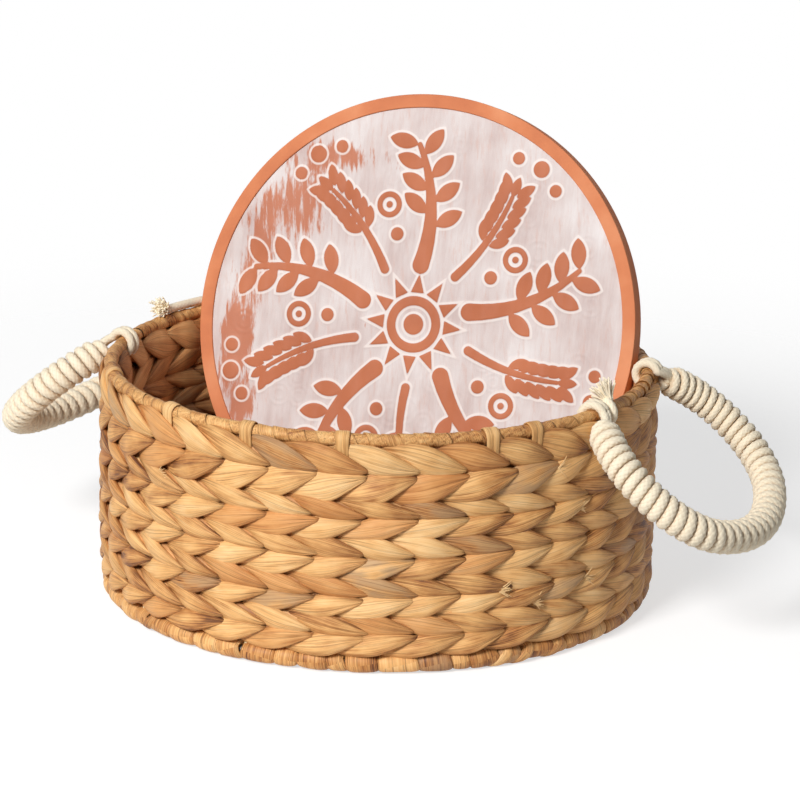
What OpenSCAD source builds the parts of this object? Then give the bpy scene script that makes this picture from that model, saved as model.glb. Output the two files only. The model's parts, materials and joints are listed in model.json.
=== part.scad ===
/* [Wall] */
// Radius of the circle that carries the stakes and both hoops
ring_r = 127; // [118:1:150]
// Number of upright stakes
stake_count = 36; // [24:2:36]
// Radius of a stake
stake_r = 1.25; // [0.8:0.05:1.6]
// Number of twined rows
row_count = 10; // [6:1:10]
// Height of one twined row
row_h = 9.04; // [8:0.02:10]
// Half of a twined row's thickness, front to back
row_roll_r = 6; // [5.2:0.1:6.6]
// Gap from the base border up to the lowest row
row_lift = 0.3; // [0.1:0.1:2]

/* [Rim] */
// Radius of the steel wire in both hoops
wire_r = 1.75; // [1.2:0.05:2.2]
// Radius over the strip that is wound round the rim hoop
rim_wrap_r = 2.9; // [2.6:0.05:3.1]
// Height of the rim hoop's centre above the top row
rim_rise = 8.8; // [8.8:0.1:14]
// Thickness of a lashing strip
lash_t = 0.7; // [0.4:0.1:1.2]
// Width of a lashing strip, measured along the rim
lash_w = 7; // [4:0.5:12]

/* [Base] */
// Radius over the strips that are wound round the base hoop
border_r = 5; // [4:0.1:6]
// Depth of the flat that the border stands on
border_flat = 0.5; // [0.3:0.1:1]
// Thickness of the woven floor
floor_t = 6.5; // [5:0.1:8]
// Height of the floor's underside above the table
floor_lift = 1.5; // [0.5:0.1:2]
// Radius of the rounded edge of the floor
floor_edge_r = 2; // [0.5:0.1:2.4]
// Number of spoke wires that cross under the floor
spoke_count = 6; // [3:1:8]
// Radius of a spoke wire
spoke_r = 1.25; // [0.8:0.05:1.6]
// Radius of the disc that joins the spoke wires
hub_r = 9; // [8:0.5:20]
// Thickness of that disc
hub_t = 3; // [2.8:0.1:4]

/* [Plate] */
// Radius of the ceramic plate
plate_r = 112; // [90:0.5:113]
// Thickness of the plate at its rim
plate_t = 10; // [7:0.5:14]
// Width of the plate's raised rim band
plate_band = 9; // [5:0.5:16]
// Depth of the glazed field below the rim band
plate_step = 1.2; // [0.5:0.1:3]
// Thickness of the pale coat on the field
slip_t = 0.3; // [0.1:0.1:0.5]
// Radius of the rim band's rounded edges
plate_round = 2.5; // [1:0.1:3]
// Angle by which the plate leans back from upright
plate_lean = 17; // [14:0.1:24]
// Angle by which the leaning plate is turned about the basket's axis
plate_turn = 5.7; // [0:0.1:12]

/* [Handles] */
// Angle by which each handle's middle lies behind the basket's widest line
handle_back = 5; // [0:0.5:8]
// Half of the angle between the two eyes of a handle
eye_half_angle = 17.5; // [17:0.1:18]
// Angle by which the loop droops below level at rest
handle_droop = 39.5; // [20:0.5:40]
// Height of the loop's plane above the hinge line, square to the plane
loop_rise = 1.5; // [1.5:0.1:3]
// Reach of the loop's middle line, from the hinge line to the tip
loop_reach = 90; // [80:1:110]
// Half of the width of the loop's middle line
loop_half_w = 63; // [58:1:66]
// Bend radius of the loop at its two corners
corner_r = 41; // [40:0.5:44]
// Bend radius of the loop across its tip
tip_r = 90; // [80:1:110]
// Radius of the rope strand in an eye
strand_r = 2.4; // [2:0.1:2.5]
// Height by which the core rope swells at the four ends of its bends
swell = 0.15; // [0.1:0.01:0.3]
// Radius of the neck that joins an eye to its leg
neck_r = 2.1; // [1.6:0.1:2.3]
// Radius of the hole in an eye
eye_hole_r = 3.5; // [3.5:0.1:3.6]
// Length along the leg, from the hinge line to the whipping
whip_start = 15; // [14.8:0.1:22]
// Number of turns in one handle's whipping
whip_turns = 46; // [30:1:46]
// Radius of the whipping's rope
whip_rope_r = 2.3; // [1.6:0.1:2.3]
// Radius over the whipping
whip_r = 8; // [7:0.1:8.1]
// Length of the loose rope end of the right handle
end_len_right = 11; // [6:1:24]
// Length of the loose rope end of the left handle
end_len_left = 26; // [6:1:34]
// Distance by which a loose rope end lies outside the rim hoop's middle
end_out = 1; // [1:0.1:3]
// Angle at which a loose rope end starts, outside the rim: 0 is straight out
hook_from = -30; // [-35:1:0]
// Length of the frayed tuft
tuft_len = 8; // [4:1:12]
// Angle by which the tuft points up off the rim
tuft_lift = 18; // [16:1:30]
// Depth by which the tuft's root sits in the rope
tuft_root = 1; // [0.5:0.1:2]
// Radius of the frayed tuft at its end
tuft_r = 4.4; // [3:0.1:4.6]

/* [Clearances] */
// Gap between two pieces that are tied together
tied_gap = 0.05; // [0.02:0.01:0.1]
// Gap between the plate and what it leans on
plate_gap = 0.3; // [0.2:0.05:1]
// Gap between an eye and the loose rope end beside it
eye_gap = 0.3; // [0.3:0.1:1.5]
// Gap between the floor and the border round it
floor_gap = 0.3; // [0.1:0.05:1]

/* [Hidden] */
$fn = 64;
ring_sides = 180;
WALL_TAN = "burlywood";
WALL_BROWN = "peru";
WIRE_GREY = "dimgray";
STAKE_CREAM = "lemonchiffon";
ROPE_CREAM = "ivory";
CLAY = "sienna";
SLIP = "mistyrose";

// The stakes, counted from the right handle's side, whose tops are lashed to the rim
LASHED = [5, 8, 11, 14, 22, 25, 27, 29, 32, 33];

// Heights
base_z = border_r - border_flat;
rows_z = base_z + border_r + row_lift;
rows_top = rows_z + row_count * row_h;
rim_z = rows_top + rim_rise;
floor_top = floor_lift + floor_t;

// Radii
row_inner_r = ring_r - row_roll_r;
rim_inner_r = ring_r - rim_wrap_r;
border_inner_r = ring_r - border_r;
wire_bore_r = wire_r + tied_gap;
stake_hole_r = stake_r + tied_gap;
spoke_hole_r = spoke_r + tied_gap;
stake_step = 360 / stake_count;

// Part of the spokes' spacing by which they are turned off the stakes
spoke_shift = 0.25;

// The plate's own frame has its back face at height 0 and its front face above
edge_r = plate_r - plate_round;
back_z = floor_top + plate_gap + edge_r * cos(plate_lean) - plate_round * sin(plate_lean) + plate_round;
function edge_z(a) = back_z + edge_r * sin(a) * cos(plate_lean) + plate_round * sin(plate_lean);
function wall_r_at(z) =
    z < rows_top + plate_round ? row_inner_r : z < rim_z + rim_wrap_r + plate_round ? rim_inner_r : 2 * ring_r;
function edge_limit(a) = wall_r_at(edge_z(a)) - plate_gap - plate_round;
function setback_at(a) =
    sqrt(pow(edge_limit(a), 2) - pow(edge_r * cos(a), 2))
    - edge_r * sin(a) * sin(plate_lean) + plate_round * cos(plate_lean);
// Angles along the plate's edge, from its middle height, at which it may touch the wall or the rim
lean_angles = [-60:0.5:60];
plate_setback = min([for (a = lean_angles) setback_at(a)]);

// The handle's hinge line is the chord through its two eyes
hinge_r = ring_r * cos(eye_half_angle);
eye_x = ring_r * sin(eye_half_angle);
eye_major = eye_hole_r + strand_r;
hook_major = rim_wrap_r + tied_gap + strand_r;
hook_x = eye_x - 2 * strand_r - eye_gap - hook_major * sin(eye_half_angle);
hook_angle = asin(hook_x / ring_r);

// The loop's middle line in its plane: u runs out from the hinge line, v along it
bend_angle = asin((loop_half_w - corner_r) / (tip_r - corner_r));
bend_u = loop_reach - tip_r + (tip_r - corner_r) * cos(bend_angle);
bend_v = loop_half_w - corner_r;
bend_far = norm([bend_u, bend_v - eye_x]);
leg_len = sqrt(pow(bend_far, 2) - pow(corner_r, 2));
splay = atan2(bend_v - eye_x, bend_u) + asin(corner_r / bend_far);
corner_angle = splay + 90 - bend_angle;
corner_len = corner_r * corner_angle * PI / 180;
tip_half_len = tip_r * bend_angle * PI / 180;
half_len = leg_len + corner_len + tip_half_len;

// A point of one half of the middle line, and its heading, at length s from the eye
function half_point(s) =
    s < leg_len ? [s * cos(splay), eye_x + s * sin(splay)]
    : s < leg_len + corner_len
        ? on_arc([bend_u, bend_v], corner_r, splay + 90 - turned(s - leg_len, corner_r))
    : on_arc([loop_reach - tip_r, 0], tip_r, bend_angle - turned(s - leg_len - corner_len, tip_r));
function half_heading(s) =
    s < leg_len ? splay
    : s < leg_len + corner_len ? splay - turned(s - leg_len, corner_r)
    : bend_angle - 90 - turned(s - leg_len - corner_len, tip_r);
function on_arc(c, r, a) = [c[0] + r * cos(a), c[1] + r * sin(a)];
function turned(len, r) = len / r * 180 / PI;

// The whole middle line: the second half mirrors the first
function loop_point(s) =
    s <= half_len ? half_point(s) : [half_point(2 * half_len - s)[0], -half_point(2 * half_len - s)[1]];
function loop_heading(s) = s <= half_len ? half_heading(s) : -180 - half_heading(2 * half_len - s);

// The whipping is a helix round the middle line
rings_per_turn = 8;
rope_sides = 6;
heading_step = 0.2;
helix_r = whip_r - whip_rope_r;
swell_r = helix_r * cos(180 / rings_per_turn) - whip_rope_r - tied_gap;
core_r = swell_r - swell;
whip_first = whip_start + whip_rope_r;
whip_len = 2 * (half_len - whip_first);
ring_total = whip_turns * rings_per_turn;
function helix_point(i) =
    let (s = whip_first + whip_len * i / ring_total)
    let (a = 360 * i / rings_per_turn)
    let (p = loop_point(s))
    let (h = loop_heading(s))
    [p[0] - helix_r * cos(a) * sin(h), p[1] + helix_r * cos(a) * cos(h), helix_r * sin(a)];
function unit(v) = v / norm(v);
function helix_heading(i) = unit(helix_point(i + heading_step) - helix_point(i - heading_step));
function middle_at(i) = let (p = loop_point(whip_first + whip_len * i / ring_total)) [p[0], p[1], 0];
function rope_ring(i) =
    let (c = helix_point(i))
    let (t = helix_heading(i))
    let (n = unit(cross(t, c - middle_at(i))))
    let (m = cross(n, t))
    [for (k = [0:rope_sides - 1])
        c + whip_rope_r * (cos(360 * k / rope_sides) * m + sin(360 * k / rope_sides) * n)];
whip_points = [for (i = [0:ring_total]) each rope_ring(i)];

// The least gap from one turn's points to those of the next turn
function turn_gap(i) =
    min([for (j = [i + rings_per_turn - 1:i + rings_per_turn + 1])
        for (a = rope_ring(i)) for (b = rope_ring(j)) norm(a - b)]);

module hoop(z) {
    translate([0, 0, z]) rotate_extrude($fn = ring_sides) translate([ring_r, 0]) circle(r = wire_r);
}

module rim_hoop() {
    color(WIRE_GREY) hoop(rim_z);
}

module base_hoop() {
    color(WIRE_GREY) hoop(base_z);
}

module at_stakes() {
    for (i = [0:stake_count - 1]) rotate([0, 0, i * stake_step]) translate([ring_r, 0, 0]) children();
}

module rim_wrap() {
    color(WALL_TAN) difference() {
        translate([0, 0, rim_z]) rotate_extrude($fn = ring_sides) translate([ring_r, 0]) difference() {
            circle(r = rim_wrap_r);
            circle(r = wire_bore_r);
        }
        at_stakes() translate([0, 0, rows_top]) cylinder(r = stake_hole_r, h = rim_rise);
    }
}

module lash() {
    rotate([0, 0, -lash_w / ring_r * 90 / PI]) translate([0, 0, rim_z])
        rotate_extrude(angle = lash_w / ring_r * 180 / PI, $fn = ring_sides) translate([ring_r, 0]) difference() {
            union() {
                circle(r = rim_wrap_r + tied_gap + lash_t);
                translate([-rim_wrap_r - tied_gap - lash_t, -rim_rise])
                    square([2 * (rim_wrap_r + tied_gap + lash_t), rim_rise]);
            }
            circle(r = rim_wrap_r + tied_gap);
            translate([-rim_wrap_r - tied_gap, -rim_rise - 1])
                square([2 * (rim_wrap_r + tied_gap), rim_rise + 1]);
        }
}

module rim_lashes() {
    color(WALL_TAN) for (i = LASHED) rotate([0, 0, i * stake_step]) lash();
}

module base_border() {
    color(WALL_TAN) difference() {
        translate([0, 0, base_z]) rotate_extrude($fn = ring_sides) translate([ring_r, 0]) difference() {
            circle(r = border_r);
            circle(r = wire_bore_r);
            translate([-border_r, -border_r]) square([2 * border_r, border_flat]);
        }
        at_stakes() translate([0, 0, base_z]) cylinder(r = stake_hole_r, h = 2 * border_r);
        at_spokes() translate([border_inner_r - border_r, 0, 0]) rotate([0, 90, 0])
            cylinder(r = spoke_hole_r, h = 2 * border_r);
    }
}

module at_spokes() {
    for (i = [0:2 * spoke_count - 1]) rotate([0, 0, (i + spoke_shift) * 180 / spoke_count])
        translate([0, 0, base_z]) children();
}

module spoke_star(gap) {
    at_spokes() translate([hub_r - spoke_r, 0, 0]) rotate([0, 90, 0])
        cylinder(r = spoke_r + gap, h = ring_r - wire_r - tied_gap - hub_r + spoke_r);
    translate([0, 0, base_z - hub_t / 2 - gap]) cylinder(r = hub_r + gap, h = hub_t + 2 * gap);
}

module base_spokes() {
    color(WIRE_GREY) spoke_star(0);
}

module base_weave() {
    weave_r = border_inner_r - floor_gap;
    color(WALL_BROWN) difference() {
        translate([0, 0, floor_lift]) rotate_extrude($fn = ring_sides) {
            square([weave_r - floor_edge_r, floor_t]);
            translate([0, floor_edge_r]) square([weave_r, floor_t - 2 * floor_edge_r]);
            for (y = [floor_edge_r, floor_t - floor_edge_r]) translate([weave_r - floor_edge_r, y])
                circle(r = floor_edge_r);
        }
        spoke_star(tied_gap);
    }
}

module twined_row(i) {
    color(i % 2 == 0 ? WALL_BROWN : WALL_TAN) difference() {
        translate([0, 0, rows_top - (i - 0.5) * row_h]) rotate_extrude($fn = ring_sides) translate([ring_r, 0])
            intersection() {
                circle(r = row_roll_r);
                square([2 * row_roll_r, row_h], center = true);
            }
        at_stakes() translate([0, 0, rows_top - i * row_h - row_h / 2])
            cylinder(r = stake_hole_r, h = 2 * row_h);
    }
}

module stake(i) {
    bottom = base_z + wire_r + tied_gap;
    top = rim_z - wire_r - tied_gap;
    color(STAKE_CREAM) rotate([0, 0, (i - 1) * stake_step]) translate([ring_r, 0, bottom])
        cylinder(r = stake_r, h = top - bottom);
}

module rounded_band(x, w, h, r) {
    translate([x + r, 0]) square([w - 2 * r, h]);
    translate([x, r]) square([w, h - 2 * r]);
    for (cx = [x + r, x + w - r]) for (cy = [r, h - r]) translate([cx, cy]) circle(r = r);
}

module plate_profile() {
    square([plate_r - plate_band / 2, plate_t - plate_step - slip_t]);
    rounded_band(plate_r - plate_band, plate_band, plate_t, plate_round);
}

module plate() {
    rotate([0, 0, plate_turn]) translate([0, plate_setback, back_z]) rotate([90 - plate_lean, 0, 0]) {
        color(CLAY) rotate_extrude($fn = ring_sides) plate_profile();
        color(SLIP) translate([0, 0, plate_t - plate_step - 2 * slip_t])
            cylinder(r = plate_r - plate_band / 2, h = 2 * slip_t, $fn = ring_sides);
    }
}

module at_handle(side) {
    rotate([0, 0, side > 0 ? handle_back : 180 - handle_back]) translate([0, 0, rim_z]) children();
}

module in_loop_plane() {
    translate([hinge_r, 0, 0]) rotate([0, handle_droop, 0]) translate([0, 0, loop_rise]) children();
}

module rope_turn(major, from, angle) {
    rotate([90, 0, 0]) rotate([0, 0, from]) rotate_extrude(angle = angle)
        translate([major, 0]) circle(r = strand_r);
}

module rod(a, b, r) {
    d = b - a;
    translate(a) rotate([0, acos(d[2] / norm(d)), atan2(d[1], d[0])]) cylinder(r = r, h = norm(d));
}

module bend(c, r, from, angle) {
    seam = turned(tied_gap, r);
    translate([c[0], c[1], 0]) rotate([0, 0, from + seam]) rotate_extrude(angle = angle - 2 * seam)
        translate([r, 0]) circle(r = core_r);
}

module leg_and_corner() {
    start = half_point(whip_start);
    inside = half_point(whip_start + core_r);
    leg_end = half_point(leg_len - tied_gap);
    rod([start[0], start[1], 0], [leg_end[0], leg_end[1], 0], core_r);
    rod([eye_major, eye_x, -loop_rise], [inside[0], inside[1], 0], neck_r);
    bend([bend_u, bend_v], corner_r, bend_angle, corner_angle);
    for (p = [half_point(leg_len), half_point(leg_len + corner_len)])
        translate([p[0], p[1], 0]) sphere(r = swell_r);
}

module handle_rope(side) {
    color(ROPE_CREAM) at_handle(side) {
        for (v = [-eye_x, eye_x]) translate([hinge_r, v, 0]) rope_turn(eye_major, 0, 360);
        in_loop_plane() {
            leg_and_corner();
            mirror([0, 1, 0]) leg_and_corner();
            bend([loop_reach - tip_r, 0], tip_r, -bend_angle, 2 * bend_angle);
        }
    }
}

module handle_whipping(side) {
    echo(least_gap_between_turns = min([for (i = [0:ring_total - rings_per_turn - 1]) turn_gap(i)]));
    s = rope_sides;
    last = ring_total * s;
    walls = [for (i = [0:ring_total - 1]) for (k = [0:s - 1])
        let (a = i * s + k, b = i * s + (k + 1) % s) each [[a, a + s, b], [b, a + s, b + s]]];
    caps = [for (k = [1:s - 2]) each [[0, k, k + 1], [last, last + k + 1, last + k]]];
    color(ROPE_CREAM) at_handle(side) in_loop_plane()
        polyhedron(points = whip_points, faces = concat(walls, caps));
}

module rope_end(side) {
    run_r = ring_r + end_out;
    run_angle = turned(side > 0 ? end_len_right : end_len_left, run_r);
    color(ROPE_CREAM) at_handle(side) rotate([0, 0, -hook_angle]) {
        translate([ring_r, 0, 0]) rope_turn(hook_major, hook_from, 90 - hook_from);
        translate([run_r, 0, hook_major]) sphere(r = strand_r);
        translate([0, 0, hook_major]) rotate_extrude(angle = run_angle)
            translate([run_r, 0]) circle(r = strand_r);
        rotate([0, 0, run_angle]) translate([run_r, -tuft_root, hook_major]) rotate([tuft_lift - 90, 0, 0])
            cylinder(r1 = strand_r - tuft_root / 2, r2 = tuft_r, h = tuft_root + tuft_len);
    }
}

rim_hoop();
rim_wrap();
rim_lashes();
base_hoop();
base_border();
base_spokes();
base_weave();
plate();
for (i = [1:row_count]) twined_row(i);
for (i = [1:stake_count]) stake(i);
handle_rope(1);  // handle_rope_right
handle_rope(-1);  // handle_rope_left
handle_whipping(1);  // handle_whipping_right
handle_whipping(-1);  // handle_whipping_left
rope_end(1);  // rope_end_right
rope_end(-1);  // rope_end_left
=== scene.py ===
"""Bread warmer basket: a plaited wall on stakes, a wound rim, rope handles and a clay plate.

Laid out as an add-on: settings, one operator for each piece or group of pieces, and a panel.
"""

import json
import math
from typing import NamedTuple

import bpy
import numpy as np
from mathutils import Matrix, Vector


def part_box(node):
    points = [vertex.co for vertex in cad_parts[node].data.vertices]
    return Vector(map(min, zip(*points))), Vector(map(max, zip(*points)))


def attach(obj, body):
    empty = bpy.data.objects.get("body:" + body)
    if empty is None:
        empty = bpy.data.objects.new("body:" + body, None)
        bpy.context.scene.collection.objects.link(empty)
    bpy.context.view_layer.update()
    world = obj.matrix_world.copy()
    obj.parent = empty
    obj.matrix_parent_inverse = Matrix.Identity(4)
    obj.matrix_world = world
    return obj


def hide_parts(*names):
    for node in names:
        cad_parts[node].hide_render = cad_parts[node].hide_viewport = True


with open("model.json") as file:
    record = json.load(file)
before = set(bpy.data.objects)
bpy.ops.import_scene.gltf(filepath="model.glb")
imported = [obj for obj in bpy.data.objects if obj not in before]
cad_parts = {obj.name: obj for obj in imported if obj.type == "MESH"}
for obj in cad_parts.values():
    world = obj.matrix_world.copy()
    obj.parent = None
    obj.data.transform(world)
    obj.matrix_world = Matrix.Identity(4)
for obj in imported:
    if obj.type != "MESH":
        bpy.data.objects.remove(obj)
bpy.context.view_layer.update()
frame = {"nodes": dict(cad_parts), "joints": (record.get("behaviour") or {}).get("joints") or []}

bl_info = {
    "name": "Bread Warmer Basket",
    "version": (1, 0, 0),
    "blender": (4, 5, 0),
    "location": "View3D > Sidebar > Basket",
    "description": "Builds a plaited bread basket with rope handles and a clay warming plate",
    "category": "Add Mesh",
}

MM = 0.001
TURN = 2 * math.pi
UP = np.array([0.0, 0.0, 1.0])
ROWS = [f"twined_row_{i}" for i in range(1, 11)]
STAKES = [f"stake_{i}" for i in range(1, 37)]
SIDES = ("right", "left")
HOOP_WIRE = 1.75 * MM  # radius of the wire of both hoops


def joint(name):
    return next(j for j in frame["joints"] if j["name"] == name)


def hoop_ring(node):
    """Radius of a hoop's own middle line."""
    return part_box(node)[1].x - HOOP_WIRE


def middle_z(node):
    low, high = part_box(node)
    return (low.z + high.z) / 2


def draws(seed):
    return np.random.default_rng(seed)


def unit(v):
    return v / np.linalg.norm(v, axis=-1, keepdims=True)


def ease(x):
    """Goes from 0 to 1 with x, softly at both ends."""
    x = np.clip(x, 0, 1)
    return x * x * (3 - 2 * x)


def toward(angle):
    """The level direction at an angle from the x axis."""
    return np.stack([np.cos(angle), np.sin(angle), 0 * angle], -1)


def resample(path, step):
    """The same path as points that lie one step apart."""
    s = np.concatenate([[0], np.cumsum(np.linalg.norm(np.diff(path, axis=0), axis=1))])
    at = np.linspace(0, s[-1], int(s[-1] / step))
    return np.stack([np.interp(at, s, path[:, k]) for k in range(3)], -1)


class Wire:
    """One socket of a shader. Sums on wires add the nodes that work them out."""

    def __init__(self, finish, socket):
        self.finish = finish
        self.socket = socket

    def sum(self, operation, *others):
        return self.finish.node("ShaderNodeMath", {"operation": operation}, [self, *others])

    def __add__(self, other):
        return self.sum("ADD", other)

    __radd__ = __add__

    def __mul__(self, other):
        return self.sum("MULTIPLY", other)

    __rmul__ = __mul__

    def __sub__(self, other):
        return self.sum("SUBTRACT", other)

    def __rsub__(self, other):
        return self.finish.node("ShaderNodeMath", {"operation": "SUBTRACT"}, [other, self])

    def fit(self, low, high, to_low=0.0, to_high=1.0):
        """Carries the range low..high over to to_low..to_high, softly at both ends."""
        settings = {"interpolation_type": "SMOOTHSTEP"}
        return self.finish.node("ShaderNodeMapRange", settings, [self, low, high, to_low, to_high])


class Finish:
    """The nodes of a material, or of the world, that is being made."""

    def __init__(self, owner):
        owner.use_nodes = True
        self.owner = owner
        self.tree = owner.node_tree
        self.surface = self.tree.nodes.get("Principled BSDF")

    def feed(self, socket, value):
        if isinstance(value, Wire):
            self.tree.links.new(value.socket, socket)
        else:
            socket.default_value = value

    def node(self, kind, settings=None, sockets=(), out=0):
        """Adds a node: its settings first, then its sockets by place or by name."""
        made = self.tree.nodes.new(kind)
        for key, value in (settings or {}).items():
            if key == "stops":
                ramp = made.color_ramp.elements
                while len(ramp) < len(value):
                    ramp.new(0.5)
                for stop, (place, colour) in zip(ramp, value):
                    stop.position = place
                    stop.color = (*colour, 1)
            else:
                setattr(made, key, value)
        named = sockets.items() if isinstance(sockets, dict) else enumerate(sockets)
        for key, value in named:
            self.feed(made.inputs[key], value)
        return Wire(self, made.outputs[out])

    def mark(self, name):
        """A number that the mesh carries at its points."""
        return self.node("ShaderNodeAttribute", {"attribute_name": name}, out="Fac")

    def split(self, vector):
        made = self.node("ShaderNodeSeparateXYZ", sockets=[vector]).socket.node
        return [Wire(self, s) for s in made.outputs]

    def vector(self, x, y, z):
        return self.node("ShaderNodeCombineXYZ", sockets=[x, y, z])

    def along_around(self):
        """The UV map of a strand: metres along it, and turns round it."""
        return self.split(self.node("ShaderNodeTexCoord", out="UV"))[:2]

    def place(self):
        """Where a point lies in the basket, in metres."""
        return self.node("ShaderNodeTexCoord", out="Object")

    def noise(self, vector, scale=1.0, detail=3.0, rough=0.5):
        sockets = {"Vector": vector, "Scale": scale, "Detail": detail, "Roughness": rough}
        return self.node("ShaderNodeTexNoise", sockets=sockets)

    def ramp(self, level, *stops):
        return self.node("ShaderNodeValToRGB", {"stops": stops}, [level])

    def mix(self, share, first, second):
        """Blends two colours, which are sockets 6 and 7 of the node and come out at 2."""
        first, second = (c if isinstance(c, Wire) else (*c, 1) for c in (first, second))
        return self.node("ShaderNodeMix", {"data_type": "RGBA"}, {0: share, 6: first, 7: second}, out=2)

    def coat(self, colour, roughness, height=None, depth=0.2 * MM, **sockets):
        """Sets the surface: colour, roughness, and a bump of the given depth in metres."""
        self.feed(self.surface.inputs["Base Color"], colour)
        self.feed(self.surface.inputs["Roughness"], roughness)
        for key, value in sockets.items():
            self.surface.inputs[key.replace("_", " ")].default_value = value
        if height is not None:
            bump = self.node("ShaderNodeBump", sockets={"Strength": 1.0, "Distance": depth, "Height": height})
            self.feed(self.surface.inputs["Normal"], bump)
        return self.owner


def new_finish(name):
    return Finish(bpy.data.materials.new(name))


def linear(red, green, blue):
    """A colour as it is seen on a screen, 0 to 255, turned to the light that it stands for."""
    return tuple(((c / 255 + 0.055) / 1.055) ** 2.4 for c in (red, green, blue))


def husk(name, pale, golden, brown, crease_shade):
    """Dried plant leaf folded to a strand: fibres run along it, and shade is painted into its folds and into
    the ends that tuck under a neighbour.
    """
    f = new_finish(name)
    along, around = f.along_around()
    tone, tint, pinch, edge = f.mark("tone"), f.mark("tint"), f.mark("pinch"), f.mark("edge")
    shift = tone * 37 + tint * 19
    fibre = f.noise(f.vector(along * 38, around * 46, shift), detail=4, rough=0.62)
    fine = f.noise(f.vector(along * 26, around * 62, shift + 5), detail=2, rough=0.4)
    cloud = f.noise(f.vector(along * 75, around * 4, shift + 9), detail=3)
    level = 0.27 + tone * 0.36 + (fibre - 0.5) + (cloud - 0.5) * 0.8
    # Painted shade: darker where the leaf's ends tuck under a neighbour or the strand turns behind a stake
    # (pinch). It is also a little darker at its side edges and on its back (edge).
    level = level - pinch * 0.16 - edge * 0.12
    colour = f.ramp(level, (0.0, crease_shade), (0.16, brown), (0.46, golden), (0.8, pale))
    greyed = tint.fit(0.93, 0.97) * 0.62 * cloud.fit(0.3, 0.6)
    colour = f.mix(greyed, colour, linear(158, 124, 94))
    reddened = tint.fit(0.14, 0.03) * 0.5
    colour = f.mix(reddened, colour, linear(204, 132, 70))
    # Fine dark lines along the leaf, stronger towards its ends: partly its own fibre lines, partly painted
    # shade in its fine creases.
    vein_and_crease_shade = fine.fit(0.56, 0.67) * (pinch * 0.62 + 0.3)
    colour = f.mix(vein_and_crease_shade, colour, crease_shade)
    # Painted shade: the crease colour laid over the leaf's tucked-under ends.
    colour = f.mix(pinch.fit(0.66, 1.0) * 0.55, colour, crease_shade)
    roughness = fibre.fit(0.3, 0.7, 0.46, 0.62)
    height = fibre * 0.6 - vein_and_crease_shade * 0.5 + fine * 0.2
    return f.coat(colour, roughness, height, 0.5 * MM, Specular_IOR_Level=0.42)


def green_reed(name):
    """The pale stakes: smooth cream stems with a few brown scars."""
    f = new_finish(name)
    x, y, z = f.split(f.place())
    grain = f.noise(f.vector(x * 900, y * 900, z * 60), detail=3)
    spots = f.noise(f.vector(x * 300, y * 300, z * 120), detail=2)
    dull, cream, pale = linear(196, 172, 126), linear(226, 206, 160), linear(240, 226, 190)
    colour = f.ramp(grain, (0.25, dull), (0.5, cream), (0.8, pale))
    colour = f.mix(spots.fit(0.62, 0.72) * 0.6, colour, linear(150, 112, 66))
    return f.coat(colour, 0.55, grain, 0.2 * MM)


def wire_steel(name):
    """Bare steel wire, dull and slightly rusted."""
    f = new_finish(name)
    cloud = f.noise(f.place(), scale=140, detail=4)
    dull, bare, rust = linear(120, 116, 108), linear(150, 146, 138), linear(134, 92, 62)
    colour = f.ramp(cloud, (0.35, dull), (0.62, bare), (0.8, rust))
    f.surface.inputs["Metallic"].default_value = 0.85
    return f.coat(colour, cloud.fit(0.3, 0.7, 0.32, 0.6), cloud, 0.05 * MM)


def cotton(name, depth=0.45 * MM):
    """Unbleached cotton cord: the yarn's lay is in the mesh, and its fibres are here."""
    f = new_finish(name)
    along, around = f.along_around()
    hollow = f.mark("hollow")
    hairs = f.noise(f.vector(along * 1500, around * 30, 0.0), detail=3, rough=0.65)
    cloud = f.noise(f.place(), scale=70, detail=3)
    # Painted shade: a darker tan in the hollows between the yarns' crowns and in the grooves between the
    # whipping's turns.
    deep = (hollow * 0.8 + (hairs - 0.5) * 0.3).fit(0.12, 0.95)
    colour = f.mix(deep * 0.64, linear(255, 242, 215), linear(196, 158, 116))
    colour = f.mix(cloud.fit(0.4, 0.7) * 0.25, colour, linear(245, 227, 198))
    return f.coat(colour, 0.9, hairs, depth, Sheen_Weight=0.2, Sheen_Roughness=0.5)


def terracotta(name):
    """Fired clay, finely sanded, with paler and darker clouds."""
    f = new_finish(name)
    cloud = f.noise(f.place(), scale=34, detail=4)
    sand = f.noise(f.place(), scale=2200, detail=2)
    dark, fired, pale = linear(196, 112, 72), linear(214, 129, 84), linear(226, 148, 104)
    colour = f.ramp(cloud, (0.3, dark), (0.5, fired), (0.72, pale))
    return f.coat(colour, 0.78, sand, 0.12 * MM)


def slip_ware(name):
    """The plate's field: clay motifs that stand in a pale coat, brushed on and worn through in places."""
    f = new_finish(name)
    x, y = f.along_around()
    cut, worn = f.mark("cut"), f.mark("worn")
    grain = f.noise(f.place(), scale=2200, detail=2)
    cloud = f.noise(f.vector(x * 26, y * 26, 0.0), detail=4)
    streak = f.noise(f.vector(x * 420 + y * 60, y * 60 - x * 40, 0.0), detail=4, rough=0.7)
    smear = f.noise(f.vector(x * 150, y * 22, 3.0), detail=5, rough=0.65)
    clay = f.ramp(cloud, (0.3, linear(176, 98, 62)), (0.7, linear(198, 118, 80)))
    thinned, usual, thick = linear(188, 162, 156), linear(213, 198, 194), linear(232, 225, 223)
    coat = f.ramp(cloud * 0.55 + smear * 0.45, (0.32, thinned), (0.48, usual), (0.66, thick))
    thin = f.mix(streak.fit(0.5, 0.72) * 0.35, coat, linear(206, 160, 142))
    rubbed = (worn + (streak - 0.5) * 1.5 + (smear - 0.5) * 0.9).fit(0.45, 0.78)
    ground = f.mix(rubbed * 0.92, thin, clay)
    lip = cut.fit(0.15, 0.5) * cut.fit(1.7, 1.0)
    ground = f.mix(lip * 0.7, ground, linear(242, 232, 226))
    colour = f.mix(cut.fit(0.16, -0.06), ground, clay)
    roughness = smear.fit(0.3, 0.7, 0.62, 0.8)
    return f.coat(colour, roughness, grain * 0.5 + streak * 0.5, 0.15 * MM)


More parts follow.
